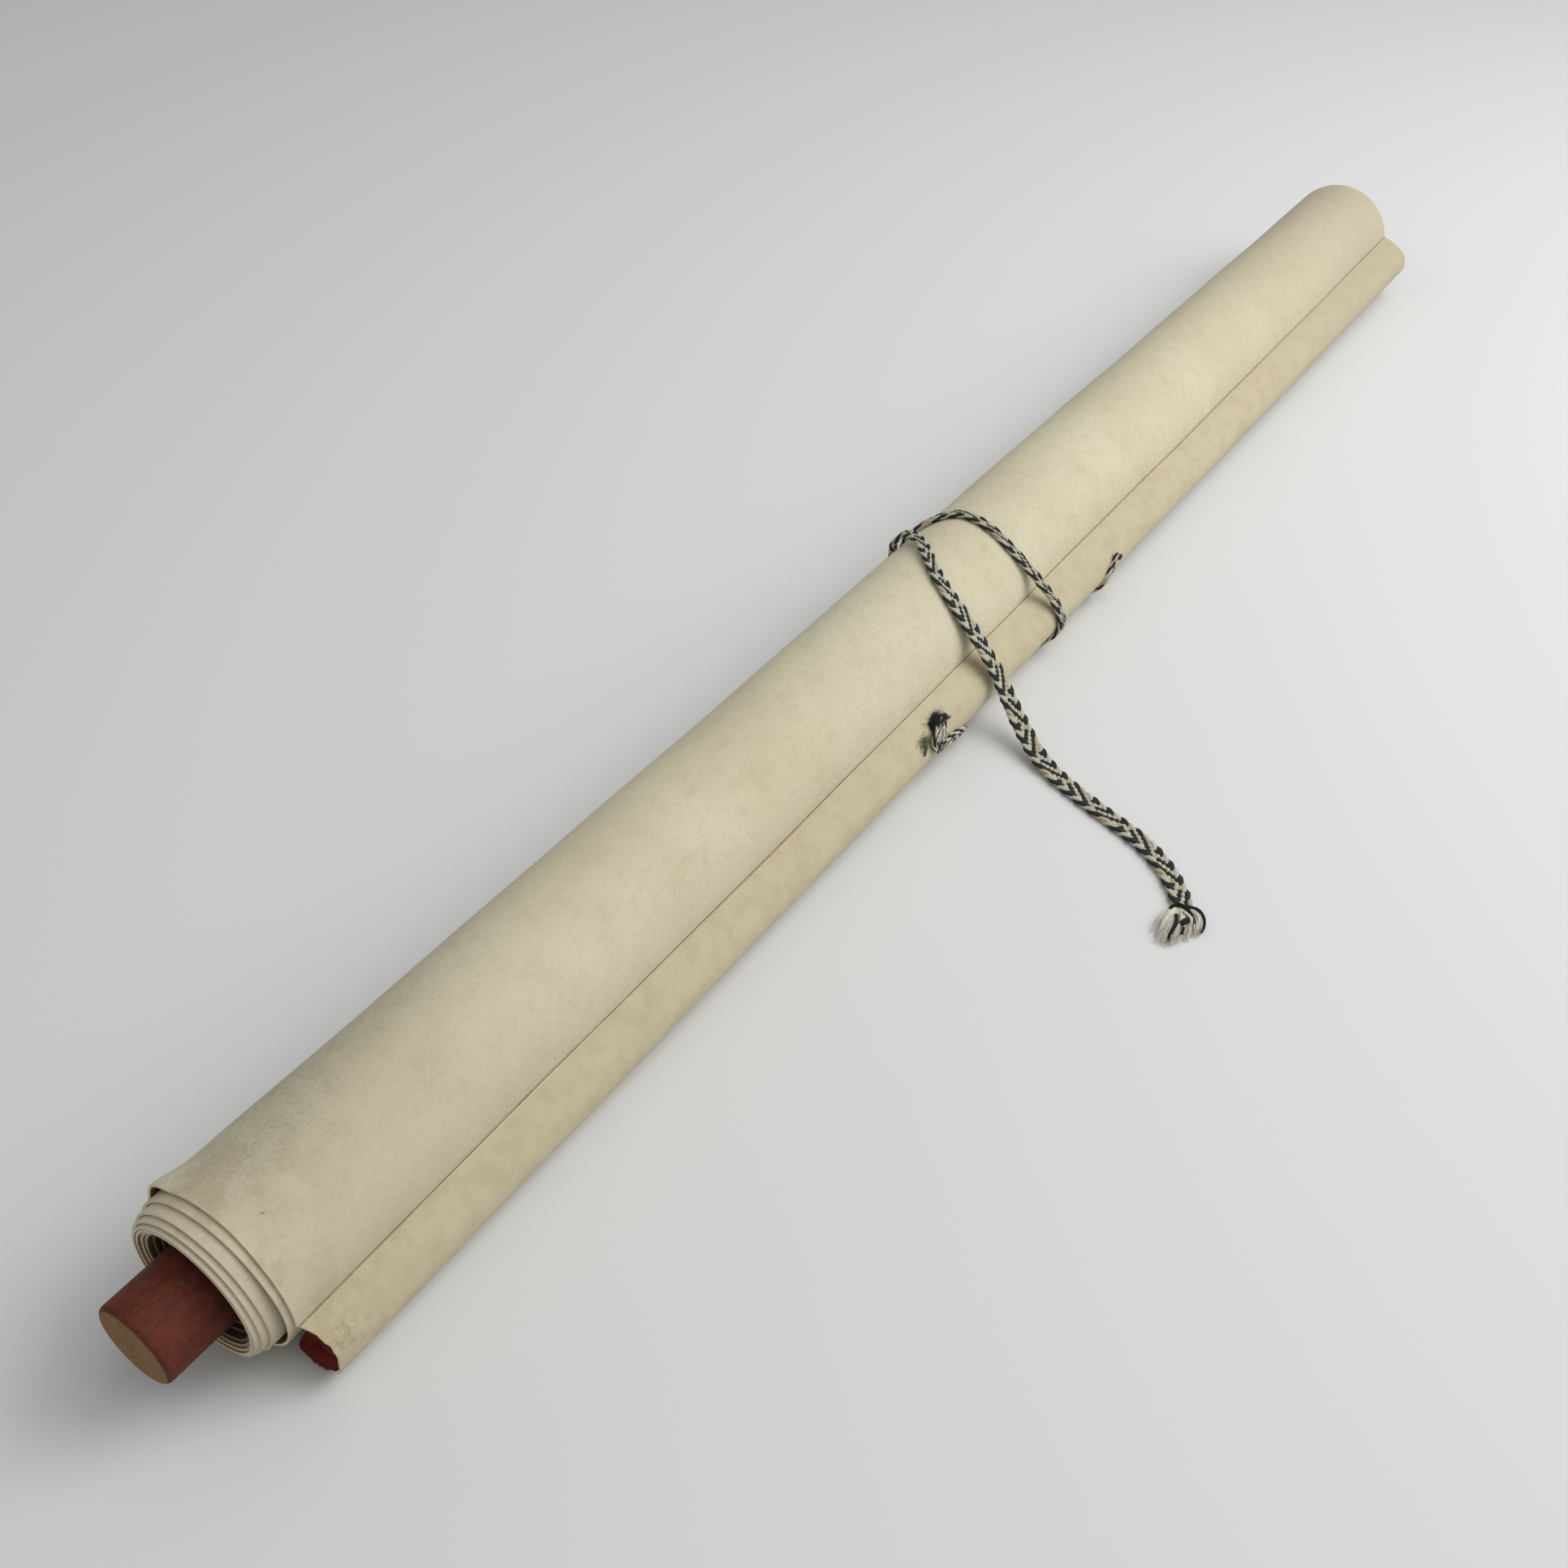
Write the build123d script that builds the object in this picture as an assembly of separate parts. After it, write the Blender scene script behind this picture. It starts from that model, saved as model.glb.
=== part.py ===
from build123d import *
import os
from math import cos, radians, sin, tan

# A rolled paper scroll, lying on a table. A long mounted sheet is wound on a wooden roller whose two
# ends carry turned knobs. The sheet's outer end is glued round a half-round rod, which lies against the
# side of the roll, and two wire eyelets in that rod hold a flat braided cord: one short length between
# the eyelets, and one long length that is wound twice round the scroll and ends loose on the table.
# X runs along the roll, +Z is up, and the rod is on the -Y side. All sizes are in millimetres.

# The sheet
sheet_width = 703.5       # along the roll
sheet_thick = 0.55        # mounted and backed paper
half_turns = 26           # semicircles from the roller to the rod
turn_pitch = 0.92         # from one turn to the next, with a little air between them
front_radius = 19.0       # the turn that stands out furthest at the near end
outer_creep = 8.5         # how far the outermost turn's edge lies behind that one
inner_creep = 7.0         # how far the innermost turn's edge lies behind it
flat_depth = 0.12         # the soft roll is pressed flat by this much where it lies on the table

# The roller and its knobs, which are turned to one diameter
roller_radius = 11.4
knob_length = 23.8
knob_round = 1.6          # the worn edge of the outer end
knob_ease = 0.3           # the edge at the joint with the roller
tenon_radius = 5.0
tenon_length = 12.0

# The half-round rod in the sheet's outer end
rod_radius = 7.75
rod_flat = 3.95           # from the rod's centre to its flat face
rod_corner = 1.2
rod_recess = 0.8          # its ends lie inside the torn ends of the paper
rod_angle = 204.0         # the side of the roll that it lies against, counted from +Y over the top
rod_rise = 8.0            # its far end lies higher than its near end
rod_clear = 0.05          # under its near end
sleeve_bite = 0.25        # how deep the sleeve is glued into the last turn

# The eyelets
eyelet_places = (276.25, 400.8)   # along X, from the front-most turn's edge
eyelet_angles = (131.6, 151.5)    # round the rod, counted as rod_angle is
eyelet_ring = 2.5
eyelet_wire = 0.45
eyelet_shank = 0.5
eyelet_depth = 5.6
eyelet_stand = 0.1                # from the paper to the ring's wire
sleeve_hole_play = 0.2

# The cords, as plain eight-sided tubes of the braid's thickness
cord_thick = 2.0
cord_sides = 8
bend_share = 0.45        # how much of the shorter run the arc at each corner takes
dent_width = 4.2
dent_height = 2.4

step = turn_pitch / 2
roll_radius = roller_radius + sheet_thick + (half_turns - 1) * step
outward = Vector(0, cos(radians(rod_angle)), sin(radians(rod_angle)))
sideways = Vector(0, sin(radians(rod_angle)), -cos(radians(rod_angle)))
lower_radius = roll_radius - step
axis_z = lower_radius - flat_depth + step * sin(radians(rod_angle))
upper_centre = Vector(0, 0, axis_z)
lower_centre = upper_centre - outward * step

sleeve_radius = rod_radius + sheet_thick
sleeve_flat = rod_flat + sheet_thick
rod_distance = roll_radius - sleeve_bite + sleeve_flat
rod_base = upper_centre + outward * rod_distance
rod_start_shift = (sleeve_radius + rod_clear - rod_base.Z) / sideways.Z

# Route of the cord between the eyelets, in the finished frame
hanging_points = [
    (-77.0, -23.8, 20.6),
    (-88.0, -26.4, 18.4),
    (-89.5, -28.2, 13.0),
    (-86.0, -27.6, 7.6),
    (-79.0, -24.6, 4.2),
    (-70.0, -22.0, 2.7),
    (-60.0, -21.1, 2.3),
    (-48.0, -19.2, 1.6),
    (-35.0, -16.1, 1.6),
    (-24.0, -12.9, 3.4),
    (-13.0, -12.5, 3.9),
    (-2.5, -13.3, 3.5),
    (8.0, -15.9, 1.6),
    (20.0, -16.6, 1.6),
    (31.0, -18.2, 2.0),
    (38.0, -22.9, 3.6),
    (38.8, -28.0, 8.6),
    (36.6, -29.2, 13.2),
    (46.6, -27.5, 21.2),
]

# Route of the winding cord: from the middle of the other one, twice round, and out over the table
winding_points = [
    (-16.0, -10.2, 3.0),
    (-16.5, -4.8, 1.35),
    (-17.0, 1.8, 1.15),
    (-17.3, 9.8, 1.15),
    (-17.8, 20.1, 1.15),
    (-17.4, 27.9, 5.6),
    (-12.5, 34.1, 22.7),
    (-18.2, 27.9, 39.7),
    (-7.2, 12.2, 48.8),
    (-9.2, -7.6, 45.3),
    (-1.3, -29.0, 13.4),
    (-0.8, -26.2, 4.0),
    (-9.5, -17.4, 1.2),
    (-18.5, -10.1, 1.15),
    (-23.8, -1.3, 1.15),
    (-26.2, 8.9, 1.15),
    (-28.6, 20.1, 1.15),
    (-27.5, 27.9, 5.6),
    (-19.5, 34.1, 22.7),
    (-22.4, 27.9, 39.7),
    (-34.8, 12.2, 48.8),
    (-50.0, -7.6, 45.0),
    (-48.5, -19.1, 28.8),
    (-48.1, -27.1, 18.0),
    (-50.8, -35.4, 9.8),
    (-58.2, -46.5, 4.4),
    (-63.6, -57.0, 1.5),
    (-67.9, -68.0, 1.2),
    (-72.4, -81.2, 1.15),
    (-75.6, -92.9, 1.3),
    (-80.6, -103.6, 1.15),
    (-88.0, -112.2, 1.15),
    (-96.2, -118.8, 1.15),
]

# Channels pressed into the underside of the roll by the two passes of the winding cord: middle and slant
cord_dents = [
    (-17.2, 3.9, 1.5),
    (-25.3, 3.9, 13.5),
]


def near_edge(radius):
    """How far the edge of a turn of this radius lies behind the front-most turn's edge."""
    if radius > front_radius:
        share = (radius - front_radius) / (roll_radius - front_radius)
        return outer_creep * share**2
    return inner_creep * (front_radius - radius) / (front_radius - roller_radius)


def half_turn(index):
    """One semicircle of the wound sheet. Odd ones go over the top, even ones go under the roller."""
    upper = index % 2 == 1
    centre = upper_centre if upper else lower_centre
    start = rod_angle - 180 if upper else rod_angle
    radius = roller_radius + sheet_thick + index * step
    middle = (centre.Y, centre.Z)
    outside = CenterArc(middle, radius, start, 180)
    inside = CenterArc(middle, radius - sheet_thick, start, 180)
    face = make_face([outside, inside, Line(outside @ 0, inside @ 0), Line(outside @ 1, inside @ 1)])
    return extrude(Plane.YZ.offset(near_edge(radius)) * face, amount=sheet_width)


def half_round(radius, flat, corner):
    """Outline of the rod, or of the paper round it. Its flat face looks along the sketch's +X."""
    outline = Circle(radius) - Pos(flat + radius, 0) * Rectangle(2 * radius, 4 * radius)
    return fillet(outline.vertices(), corner)


def rod_centre(x):
    """The rod's centre at a place along the roll."""
    share = (x - outer_creep) / sheet_width
    return Vector(x, 0, 0) + rod_base + sideways * (rod_start_shift + rod_rise * share)


def rod_extrusion(outline, x_from, x_to):
    """Carries an outline along the rod's line, which rises a little from the near end to the far end."""
    start = rod_centre(x_from)
    along = rod_centre(x_to) - start
    return extrude(Plane(origin=start, x_dir=-outward, z_dir=along) * outline, amount=along.length)


def rolled_sheet():
    """The whole sheet: the wound turns, and the sleeve that its outer end forms round the rod."""
    sleeve_outside = half_round(sleeve_radius, sleeve_flat, rod_corner + sheet_thick)
    sleeve_inside = half_round(rod_radius, rod_flat, rod_corner)
    sleeve = rod_extrusion(sleeve_outside - sleeve_inside, outer_creep, outer_creep + sheet_width)
    turns = [half_turn(index) for index in range(half_turns)]
    sheet = turns[0].fuse(*turns[1:], sleeve)
    table = Pos(sheet_width / 2, 0, -roll_radius) * Box(2 * sheet_width, 4 * roll_radius, 2 * roll_radius)
    return sheet - table


def roller():
    """The wooden roller in the middle, with a tenon at each end."""
    start = inner_creep
    body = Plane.YZ.offset(start) * Pos(lower_centre.Y, lower_centre.Z) * Circle(roller_radius)
    tenons = Plane.YZ.offset(start - tenon_length) * Pos(lower_centre.Y, lower_centre.Z) * Circle(tenon_radius)
    return extrude(body, amount=sheet_width) + extrude(tenons, amount=sheet_width + 2 * tenon_length)


def end_knob(side):
    """A turned knob, open at its inner face for the tenon. The outer edge is worn round."""
    knob = Cylinder(roller_radius, knob_length)
    knob = fillet(knob.edges().sort_by(Axis.Z)[-1], knob_round)
    knob = chamfer(knob.edges().filter_by(GeomType.CIRCLE).sort_by(Axis.Z)[0], knob_ease)
    knob -= Pos(0, 0, (tenon_length - knob_length) / 2) * Cylinder(tenon_radius, tenon_length)
    face_x = inner_creep if side < 0 else inner_creep + sheet_width
    middle = Vector(face_x + side * knob_length / 2, lower_centre.Y, lower_centre.Z)
    return Plane(origin=middle, x_dir=(0, 1, 0), z_dir=(side, 0, 0)) * knob


def eyelet(x, angle):
    """A wire ring on a nail that is driven through the paper into the rod's round side."""
    away = Vector(0, cos(radians(angle)), sin(radians(angle)))
    surface = sleeve_radius + eyelet_stand
    ring_middle = rod_centre(x) + away * (surface + eyelet_wire + eyelet_ring)
    foot = rod_centre(x) + away * (rod_radius - eyelet_depth)
    nail_length = surface + eyelet_wire - (rod_radius - eyelet_depth)
    ring = Plane(origin=ring_middle, x_dir=away, z_dir=(1, 0, 0)) * Torus(eyelet_ring, eyelet_wire)
    line = Plane(origin=foot, x_dir=(1, 0, 0), z_dir=away)
    nail = extrude(line * Circle(eyelet_shank), amount=nail_length)
    hole = extrude(line * Circle(eyelet_shank + sleeve_hole_play), amount=2 * sleeve_radius)
    return ring + nail, nail, hole


def tube(points, thick):
    """A cord's tube: straight runs joined by tangent arcs, each as large as its two runs allow."""
    places = [Vector(*point) for point in points]
    runs = [b - a for a, b in zip(places, places[1:])]
    radii = []
    for before, after in zip(runs, runs[1:]):
        turn = before.get_angle(after)
        shorter = min(before.length, after.length)
        radii.append(bend_share * shorter / tan(radians(turn) / 2))
    print("runs", [round(run.length, 1) for run in runs])
    print("turns", [round(a.get_angle(b)) for a, b in zip(runs, runs[1:])])
    print("radii", [round(radius, 1) for radius in radii])
    path = FilletPolyline(*places, radius=radii)
    section = Plane(origin=path @ 0, z_dir=path % 0) * RegularPolygon(thick / 2, cord_sides)
    solid = sweep(section, path=path)
    print("length", round(path.length, 1), "volume", round(solid.volume, 1),
          "against", round(path.length * section.area, 1))
    return solid


top_rod = rod_extrusion(
    half_round(rod_radius, rod_flat, rod_corner),
    outer_creep + rod_recess,
    outer_creep + sheet_width - rod_recess,
)
sheet = rolled_sheet()
near_eyelet, near_nail, near_hole = eyelet(eyelet_places[0], eyelet_angles[0])
far_eyelet, far_nail, far_hole = eyelet(eyelet_places[1], eyelet_angles[1])
top_rod = top_rod - near_nail - far_nail
sheet = sheet - near_hole - far_hole

pieces = {
    "paper_sheet": sheet,
    "roller_rod": roller(),
    "near_end_knob": end_knob(-1),
    "far_end_knob": end_knob(1),
    "top_rod": top_rod,
    "near_eyelet": near_eyelet,
    "far_eyelet": far_eyelet,
}

# The origin is under the middle of the scroll, on the table
corners = Compound(children=[Compound(piece.solids()) for piece in pieces.values()]).bounding_box()
home = Pos(-corners.center().X, -corners.center().Y, -corners.min.Z)
print("moved by", home.position, "roll axis", home.position + upper_centre, "rod middle",
      home.position + rod_centre(-home.position.X))
pieces = {name: home * piece for name, piece in pieces.items()}

for middle_x, middle_y, slant in cord_dents:
    channel = Box(dent_width, 2 * roll_radius, 2 * dent_height)
    pieces["paper_sheet"] -= Pos(middle_x, middle_y, 0) * Rot(0, 0, slant) * channel

pieces["hanging_cord"] = tube(hanging_points, cord_thick)
pieces["winding_cord"] = tube(winding_points, cord_thick)

os.makedirs("parts", exist_ok=True)
for name, piece in pieces.items():
    solids = piece.solids()
    print(name, "solids", len(solids), "volume", round(sum(solid.volume for solid in solids)))
    export_step(solids[0] if len(solids) == 1 else Compound(solids), f"parts/{name}.step")
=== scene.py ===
import math

import bpy
import numpy as np
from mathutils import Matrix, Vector
from mathutils.kdtree import KDTree


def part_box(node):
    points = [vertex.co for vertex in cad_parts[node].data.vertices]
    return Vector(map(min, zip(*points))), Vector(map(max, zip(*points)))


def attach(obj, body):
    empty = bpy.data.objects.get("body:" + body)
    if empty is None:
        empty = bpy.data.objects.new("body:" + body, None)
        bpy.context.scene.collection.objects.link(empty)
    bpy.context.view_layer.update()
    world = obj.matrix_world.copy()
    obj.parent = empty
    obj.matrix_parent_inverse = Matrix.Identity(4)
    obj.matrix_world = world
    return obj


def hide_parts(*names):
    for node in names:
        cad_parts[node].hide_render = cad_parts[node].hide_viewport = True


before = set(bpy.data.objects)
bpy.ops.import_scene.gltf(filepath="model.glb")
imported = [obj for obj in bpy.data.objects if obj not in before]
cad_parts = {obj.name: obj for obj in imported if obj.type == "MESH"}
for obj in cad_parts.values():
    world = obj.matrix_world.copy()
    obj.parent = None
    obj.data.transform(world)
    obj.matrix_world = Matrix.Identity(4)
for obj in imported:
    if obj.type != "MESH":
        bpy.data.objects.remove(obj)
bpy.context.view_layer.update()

# A rolled paper scroll on a pale table. The paper, the half-round rod, the eyelets and the braided cords with
# their frayed ends are modelled here. The wooden knobs and the roller are the frame's own pieces.
# All sizes are in millimetres, apart from the cords' routes, and every mesh is written in metres.
MM = 0.001


# Sizes of the frame. Two numbers that stand for a place or a direction are always Y and Z.

def ray(angle):
    """The direction at an angle from +Y over the top."""
    return np.stack([np.cos(angle), np.sin(angle)], axis=-1)


def right_of(direction):
    """The same direction, a quarter turn clockwise."""
    return np.stack([direction[..., 1], -direction[..., 0]], axis=-1)


paper_low, _ = np.array(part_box("paper_sheet")) / MM
knob_low, knob_high = np.array(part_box("near_end_knob")) / MM
rod_low, rod_high = np.array(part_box("top_rod")) / MM
roller_radius = (knob_high[2] - knob_low[2]) / 2
near_x = paper_low[0]  # the edge of the turn that stands out furthest

# The wound sheet, as it is built in the solids
sheet_width = 703.5
sheet_thick = 0.55
half_turns = 26
turn_pitch = 0.92
outer_creep = 8.5
rod_angle = 204.0  # degrees from +Y over the top
rod_radius = 7.75
rod_flat = 3.95
rod_rise = 8.0
sleeve_bite = 0.25
rod_clear = 0.05

step = turn_pitch / 2
roll_radius = roller_radius + sheet_thick + (half_turns - 1) * step
outward = ray(math.radians(rod_angle))
sideways = right_of(outward)
flat_turn = math.radians(rod_angle - 180)  # the rod's flat side faces the roll
lower_centre = (knob_low[1:] + knob_high[1:]) / 2
upper_centre = lower_centre + outward * step
sleeve_radius = rod_radius + sheet_thick
sleeve_flat = rod_flat + sheet_thick
rod_base = upper_centre + outward * (roll_radius - sleeve_bite + sleeve_flat)
rod_shift = (sleeve_radius + rod_clear - rod_base[1]) / sideways[1]


def along(x):
    """Place along the roll, counted from the front-most edge."""
    return x - near_x


def rod_centre(x):
    """The rod's centre at each x."""
    share = (along(np.asarray(x, float)) - outer_creep) / sheet_width
    return rod_base + sideways * (rod_shift + rod_rise * share)[..., None]


# How far the near edge of a turn lies behind the front-most one, at each radius of the sheet's outer side
edge_radii = [11.9, 13.6, 14.55, 15.45, 16.35, 17.25, 18.15, 19.05, 19.9, 20.8, 21.7, 22.6, 23.45]
edge_steps = [6.8, 5.5, 4.7, 3.7, 1.8, 1.2, 0.6, 0.0, 0.3, 1.5, 3.3, 6.5, 8.5]


def near_edge(radius):
    return np.interp(radius, edge_radii, edge_steps)


def smooth(low, high, value):
    """Smooth step from 0 at low to 1 at high."""
    share = np.clip((value - low) / (high - low), 0, 1)
    return share * share * (3 - 2 * share)


# Materials

def screen_colour(triple):
    """A colour written as it looks on a screen, from 0 to 255."""
    shares = [value / 255 for value in triple]
    linear = [share / 12.92 if share <= 0.04045 else ((share + 0.055) / 1.055) ** 2.4 for share in shares]
    return (*linear, 1.0)


surface_inputs = {"specular": "Specular IOR Level", "sheen": "Sheen Weight", "sheen_rough": "Sheen Roughness",
                  "metallic": "Metallic"}


class Nodes:
    """Short names for one material's nodes. Its running colour is in base."""

    def __init__(self, name):
        self.material = bpy.data.materials.new(name)
        self.material.use_nodes = True
        self.tree = self.material.node_tree
        self.shader = self.tree.nodes["Principled BSDF"]
        self.place = self.tree.nodes.new("ShaderNodeTexCoord").outputs["Object"]

    def set(self, socket, value):
        if isinstance(value, bpy.types.NodeSocket):
            self.tree.links.new(value, socket)
        else:
            socket.default_value = value

    def add(self, kind, output, values, **settings):
        """One output of a new node with these input values and settings."""
        node = self.tree.nodes.new("ShaderNode" + kind)
        for name, value in settings.items():
            setattr(node, name, value)
        for name, value in values.items():
            self.set(node.inputs[name], value)
        return node.outputs[output]

    def stretch(self, scale, turn=(0, 0, 0)):
        return self.add("Mapping", "Vector", {"Vector": self.place, "Scale": scale, "Rotation": turn})

    def noise(self, size, detail=3.0, rough=0.5, distort=0.0, vector=None):
        """Noise whose blotches are about this many millimetres across."""
        return self.add("TexNoise", "Fac", {
            "Vector": vector or self.place, "Scale": 1 / (size * MM), "Detail": detail, "Roughness": rough,
            "Distortion": distort})

    def ramp(self, value, low, high, start=0.0, end=1.0):
        return self.add("MapRange", "Result", {
            "Value": value, "From Min": low, "From Max": high, "To Min": start, "To Max": end,
        }, interpolation_type="SMOOTHSTEP")

    def math(self, kind, first, second=0.0):
        return self.add("Math", 0, {0: first, 1: second}, operation=kind)

    def mix(self, share, *colours):
        """Between two colours, each from a node or written as a triple."""
        first, second = [screen_colour(each) if isinstance(each, tuple) else each for each in colours]
        return self.add("Mix", "Result", {"Factor": share, "A": first, "B": second}, data_type="RGBA")

    def near(self, point, inside, outside, stretch=(1, 1, 1), turn=0.0):
        """A spot: 1 within the inner distance of a point, and 0 beyond the outer one."""
        moved = self.add("Mapping", "Vector", {
            "Vector": self.place, "Location": [value * MM for value in point],
            "Rotation": (0, 0, math.radians(turn)), "Scale": stretch}, vector_type="TEXTURE")
        distance = self.add("VectorMath", "Value", {0: moved}, operation="LENGTH")
        return self.ramp(distance, inside * MM, outside * MM, 1.0, 0.0)

    def axis(self, name):
        return self.add("SeparateXYZ", name, {0: self.place})

    def stain_and_shade(self, tint, share, *masks):
        """Lays a share of a tint over the running colour, where the masks are, for stains and for painted
        shade alike.
        """
        for mask in masks:
            share = self.math("MULTIPLY", mask, share)
        self.base = self.mix(share, self.base, tint)

    def bump(self, height, strength, distance):
        normal = self.shader.inputs["Normal"]
        values = {"Strength": strength, "Distance": distance * MM, "Height": height}
        if normal.is_linked:
            values["Normal"] = normal.links[0].from_socket
        self.set(normal, self.add("Bump", "Normal", values))

    def finish(self, rough, **surface):
        """Colours the surface and returns the material."""
        self.set(self.shader.inputs["Base Color"], self.base)
        self.set(self.shader.inputs["Roughness"], rough)
        for name, value in surface.items():
            self.set(self.shader.inputs[surface_inputs[name]], value)
        return self.material


def paper_nodes(name, pale, deep, fibre_dark):
    """Handmade mounting paper: nearly even cream with fine short fibres and a soft tooth."""
    m = Nodes(name)
    clouds = m.noise(55, 4, 0.55)
    m.patches = m.noise(9, 5, 0.65)
    m.speckle = m.noise(0.8, 4, 0.7)
    m.base = m.mix(m.ramp(clouds, 0.36, 0.66), pale, deep)
    m.stain_and_shade(fibre_dark, 0.22, m.ramp(m.patches, 0.46, 0.74))
    long_fibres = m.noise(1.1, 3, 0.6, 0.6, m.stretch((0.35, 1.0, 1.0), (0.2, 0.3, 0.4)))
    cross_fibres = m.noise(1.0, 3, 0.6, 0.7, m.stretch((1.0, 0.4, 0.55), (0.5, 0.1, 0.2)))
    fibres = m.math("ADD", long_fibres, cross_fibres)
    m.stain_and_shade(fibre_dark, 0.22, m.ramp(fibres, 1.02, 1.34))
    m.stain_and_shade((226, 219, 196), 0.18, m.ramp(fibres, 0.94, 0.68))
    m.stain_and_shade(fibre_dark, 0.26, m.ramp(m.speckle, 0.50, 0.68))
    m.bump(fibres, 0.28, 0.07)
    m.bump(m.patches, 0.25, 0.20)
    return m


def finish_paper(m):
    return m.finish(m.ramp(m.patches, 0.3, 0.7, 0.80, 0.92), sheen=0.05, sheen_rough=0.6)


# Places of the grey marks, where they start and stop to fade, and how strong they are
grey_marks = [
    ((-326, 17, 44), 2, 24, 0.38),
    ((-298, 23, 40), 2, 30, 0.32),
    ((-338, 9, 46), 1, 14, 0.30),
    ((-262, 25, 39), 2, 34, 0.16),
    ((-318, -2, 44), 1, 10, 0.16),
    ((-296, -6, 42), 1, 12, 0.14),
    ((341, 10, 46), 1, 11, 0.34),
    ((330, 27, 36), 4, 36, 0.22),
]
sleeve_side = upper_centre[0] - roll_radius  # in front of this the paper covers the rod


def outer_paper():
    m = paper_nodes("mounting_paper", (206, 199, 171), (200, 191, 162), (166, 155, 124))

    def across(name, low, high, start=1.0, end=0.0):
        """A mask that fades between two places on an axis."""
        return m.ramp(m.axis(name), low * MM, high * MM, start, end)

    # The paper is darker and yellower towards the near end
    m.stain_and_shade((188, 177, 150), 0.50, across("X", near_x + 10, near_x + 190))
    # The paper over the rod is browner and more mottled, and most of all at its torn end
    sleeve = across("Y", sleeve_side - 0.7, sleeve_side - 0.1)
    blotch = m.noise(6, 4, 0.62)
    m.stain_and_shade(m.mix(m.ramp(blotch, 0.38, 0.68), (188, 177, 146), (178, 164, 132)), 0.72, sleeve)
    scuff = m.ramp(m.noise(1.7, 5, 0.7), 0.44, 0.60)
    m.stain_and_shade((112, 104, 82), 0.42, m.near((-343.5, -23.5, 13.5), 0.5, 7, (1.5, 1, 1)), scuff)
    m.stain_and_shade((192, 172, 118), 0.5, m.near((-349, -20, 15), 1, 5))
    # Grey handling marks near the ends of the roll, and two specks of ink
    smoky = m.ramp(m.patches, 0.30, 0.66, 0.55, 1.0)
    fine = m.ramp(m.speckle, 0.34, 0.62, 0.40, 1.0)
    for place, inside, outside, strength in grey_marks:
        m.stain_and_shade((122, 117, 100), strength, m.near(place, inside, outside, (1.7, 1, 1)), smoky, fine)
    m.stain_and_shade((64, 58, 44), 0.55, m.near((-331.3, 11.1, 45.9), 0.10, 0.42))
    m.stain_and_shade((84, 80, 68), 0.75, m.near((-342.5, -3.2, 43.5), 0.10, 0.30, (4.5, 1, 1), -48))
    # The far end is a little browner too, and the near edge is rubbed brown
    m.stain_and_shade((176, 163, 138), 0.60, across("X", near_x + 480, near_x + 700, 0.0, 1.0))
    edge = across("X", near_x + 3, near_x + 44)
    m.stain_and_shade((168, 152, 120), 0.40, edge, m.ramp(m.patches, 0.40, 0.62))
    crumple = m.noise(5.0, 4, 0.66, 0.9, m.stretch((1.0, 0.6, 0.8), (0.1, 0.2, 0.5)))
    m.bump(m.math("MULTIPLY", crumple, across("X", near_x + 6, near_x + 70, 1.0, 0.15)), 0.45, 0.55)
    return finish_paper(m)


def rolled_paper(name, pale, deep, fibre_dark, painted_mouth_shade):
    """Paper with painted shade deep inside the roll's hollow end."""
    m = paper_nodes(name, pale, deep, fibre_dark)
    # Painted shade inside the roll's hollow end, within about 16 mm of its axis
    m.stain_and_shade(painted_mouth_shade, 1.0, m.near((0, *upper_centre), 15.6, 17.6, (1000, 1, 1)))
    return finish_paper(m)


def knob_wood():
    """Red-brown stained wood, matte and mottled, with bare tan wood on the end and painted shade on the side
    towards the roll.
    """
    m = Nodes("stained_knob_wood")
    grain = m.noise(1.6, 4, 0.6, 0.4, m.stretch((0.14, 1.0, 1.0)))
    mottle = m.noise(4.2, 5, 0.66)
    speckle = m.noise(0.6, 3, 0.6)
    m.base = m.mix(m.ramp(mottle, 0.36, 0.66), (86, 36, 22), (101, 47, 30))
    m.stain_and_shade((62, 28, 19), 0.6, m.ramp(grain, 0.46, 0.70))
    m.stain_and_shade((112, 66, 50), 0.35, m.ramp(m.noise(2.2, 5, 0.75), 0.50, 0.66))
    m.stain_and_shade((46, 22, 16), 0.5, m.ramp(speckle, 0.55, 0.75))
    reach = m.math("ABSOLUTE", m.axis("X"))
    knob_end = max(abs(knob_low[0]), abs(knob_high[0]))

    def to_end(start, stop, low=0.0, high=1.0):
        """A mask that changes between two distances from the knobs' ends."""
        return m.ramp(reach, (knob_end - start) * MM, (knob_end - stop) * MM, low, high)

    m.stain_and_shade((66, 44, 30), 0.75, to_end(2.4, 0.8), m.ramp(m.noise(2.0, 4, 0.65), 0.42, 0.62))
    rings = m.noise(1.5, 3, 0.6, 0.8, m.stretch((0.4, 1.0, 1.0)))
    bare = m.mix(m.ramp(rings, 0.38, 0.66), (138, 104, 62), (118, 87, 50))
    m.stain_and_shade(bare, 1.0, to_end(0.42, 0.12))
    # Painted shade on the knob's side next to the roll
    m.stain_and_shade((40, 20, 14), 0.45, to_end(24, 15, 1.0, 0.0))
    m.bump(grain, 0.25, 0.10)
    m.bump(speckle, 0.2, 0.06)
    return m.finish(m.ramp(mottle, 0.3, 0.7, 0.60, 0.80), specular=0.22)


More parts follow.
